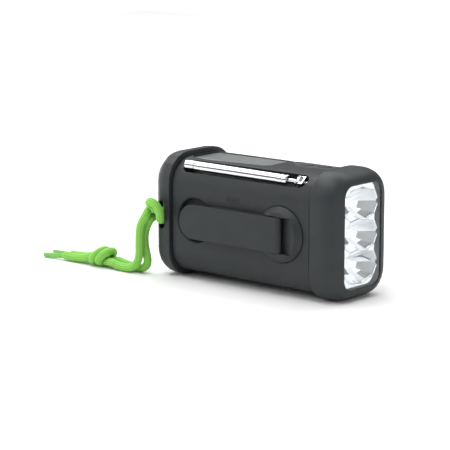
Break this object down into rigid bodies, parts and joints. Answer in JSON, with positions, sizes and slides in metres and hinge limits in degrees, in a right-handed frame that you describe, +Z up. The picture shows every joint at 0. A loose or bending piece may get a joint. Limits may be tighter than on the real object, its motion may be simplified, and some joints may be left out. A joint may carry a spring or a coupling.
{
  "type": "emergency radio",
  "caption": "Pocket emergency radio with a folding hand crank, torch head, telescopic aerial in a corner slot, solar panel on top and a braided cord lanyard.",
  "frame": {"origin": "on the surface that the radio stands on, under the middle of the radio without its lanyard", "axes": "+X from the end bumper towards the torch head, -Y out of the crank face, +Z up"},
  "size_m": [0.2249, 0.0676, 0.0755],
  "materials": {
    "shell": "dark charcoal soft-touch plastic, evenly fine matt",
    "bumper_rubber": "dark charcoal overmoulded rubber, matt with a soft sheen",
    "black_plastic": "black moulded plastic, satin",
    "chrome": "mirror-bright plating",
    "steel": "bright zinc-plated steel",
    "clear_plastic": "clear polished plastic",
    "solar_cell": "dark cells with fine pale lines",
    "circuit_board": "green solder mask",
    "led": "clear white epoxy",
    "gear_plastic": "off-white acetal",
    "cone_paper": "black felted paper",
    "ferrite": "dark grey sintered ferrite",
    "cell_wrap": "blue shrink sleeve over a metal can",
    "lanyard_braid": "bright green braided cord with melted tips"
  },
  "bodies": {
    "radio": {"front_casing": "shell", "rear_casing": "shell", "end_bumper": "bumper_rubber", "torch_head": "bumper_rubber", "lens": "clear_plastic", "reflector": "chrome", "led_1": "led", "led_2": "led", "led_3": "led", "led_board": "circuit_board", "idler_axle": "steel", "generator_can": "steel", "gear_plate": "steel", "solar_cell": "solar_cell", "solar_cover": "clear_plastic", "control_pad": "bumper_rubber", "switch_board": "circuit_board", "usb_socket": "steel", "speaker_frame": "steel", "speaker_magnet": "ferrite", "speaker_cone": "cone_paper", "main_board": "circuit_board", "battery_cell": "cell_wrap", "ferrite_rod": "ferrite", "tuning_capacitor": "black_plastic", "volume_pot": "steel", "casing_screw_1": "steel", "casing_screw_2": "steel", "casing_screw_3": "steel", "casing_screw_4": "steel", "lanyard_hitch": "lanyard_braid", "lanyard_strand_a": "lanyard_braid", "lanyard_strand_b": "lanyard_braid", "lanyard_knot": "lanyard_braid", "lanyard_tail_a": "lanyard_braid", "lanyard_tail_b": "lanyard_braid"},
    "crank": {"crank_hub": "shell", "drive_gear": "gear_plastic", "crank_hinge_pin": "steel"},
    "crank_arm_body": {"crank_arm": "shell", "knob_screw": "steel"},
    "knob": {"crank_knob": "black_plastic"},
    "idler": {"idler_gear": "gear_plastic"},
    "rotor": {"generator_rotor": "steel"},
    "aerial_swivel": {"antenna_swivel": "chrome", "antenna_pin": "steel"},
    "aerial_outer": {"antenna_knuckle": "chrome", "antenna_tube_1": "chrome"},
    "aerial_second": {"antenna_tube_2": "chrome"},
    "aerial_third": {"antenna_tube_3": "chrome"},
    "aerial_tip": {"antenna_rod": "chrome", "antenna_tip_cap": "chrome"},
    "torch_button_body": {"torch_button": "bumper_rubber"},
    "siren_button_body": {"siren_button": "bumper_rubber"},
    "tuning": {"tuning_knob": "black_plastic"},
    "volume": {"volume_knob": "black_plastic"},
    "band": {"band_slider": "black_plastic"},
    "cover": {"port_cover": "bumper_rubber"}
  },
  "joints": [
    {"name": "crank_spin", "type": "hinge", "parent": "radio", "child": "crank", "pos_m": [0.02985, -0.02575, 0.0375], "axis": [0, -1, 0], "continuous": true},
    {"name": "crank_fold", "type": "hinge", "parent": "crank", "child": "crank_arm_body", "pos_m": [0.03005, -0.02835, 0.0375], "axis": [0, 0, 1], "range_deg": [0, 160]},
    {"name": "knob_spin", "type": "hinge", "parent": "crank_arm_body", "child": "knob", "pos_m": [-0.03315, -0.02575, 0.0375], "axis": [0, -1, 0], "continuous": true},
    {"name": "idler_spin", "type": "hinge", "parent": "radio", "child": "idler", "pos_m": [0.00825, -0.02575, 0.0375], "axis": [0, -1, 0], "continuous": true},
    {"name": "rotor_spin", "type": "hinge", "parent": "radio", "child": "rotor", "pos_m": [-0.01046, -0.02575, 0.0483], "axis": [0, -1, 0], "continuous": true},
    {"name": "antenna_turn", "type": "hinge", "parent": "radio", "child": "aerial_swivel", "pos_m": [0.03835, -0.0187, 0.0682], "axis": [0.9999, 0.0102, -0.0131], "range_deg": [-45, 45]},
    {"name": "antenna_tilt", "type": "hinge", "parent": "aerial_swivel", "child": "aerial_outer", "pos_m": [0.03835, -0.0187, 0.0682], "axis": [0, 0.788, 0.6157], "range_deg": [0, 90]},
    {"name": "antenna_extend_1", "type": "slide", "parent": "aerial_outer", "child": "aerial_second", "axis": [-0.9999, -0.0102, 0.0131], "range_m": [0, 0.058]},
    {"name": "antenna_extend_2", "type": "slide", "parent": "aerial_second", "child": "aerial_third", "axis": [-0.9999, -0.0102, 0.0131], "range_m": [0, 0.058]},
    {"name": "antenna_extend_3", "type": "slide", "parent": "aerial_third", "child": "aerial_tip", "axis": [-0.9999, -0.0102, 0.0131], "range_m": [0, 0.058]},
    {"name": "torch_button_press", "type": "slide", "parent": "radio", "child": "torch_button_body", "axis": [0, 0, -1], "range_m": [0, 0.0005], "stiffness_N_per_m": 1500, "springref_m": -0.0005},
    {"name": "siren_button_press", "type": "slide", "parent": "radio", "child": "siren_button_body", "axis": [0, 0, -1], "range_m": [0, 0.0005], "stiffness_N_per_m": 1500, "springref_m": -0.0005},
    {"name": "tuning_turn", "type": "hinge", "parent": "radio", "child": "tuning", "pos_m": [0.03175, 0.02875, 0.0495], "axis": [0, 1, 0], "range_deg": [-135, 135]},
    {"name": "volume_turn", "type": "hinge", "parent": "radio", "child": "volume", "pos_m": [0.03375, 0.02875, 0.0255], "axis": [0, 1, 0], "range_deg": [-135, 135]},
    {"name": "band_slide", "type": "slide", "parent": "radio", "child": "band", "axis": [1, 0, 0], "range_m": [-0.002, 0.002]},
    {"name": "port_cover_swing", "type": "hinge", "parent": "radio", "child": "cover", "pos_m": [0.00405, 0.02875, 0.0245], "axis": [0, 0, 1], "range_deg": [0, 110]}
  ],
  "couplings": [
    {"joint": "idler_spin", "follows": "crank_spin", "ratio": -2.8571},
    {"joint": "rotor_spin", "follows": "crank_spin", "ratio": 8.1633},
    {"joint": "antenna_extend_2", "follows": "antenna_extend_1", "ratio": 1},
    {"joint": "antenna_extend_3", "follows": "antenna_extend_1", "ratio": 1}
  ]
}
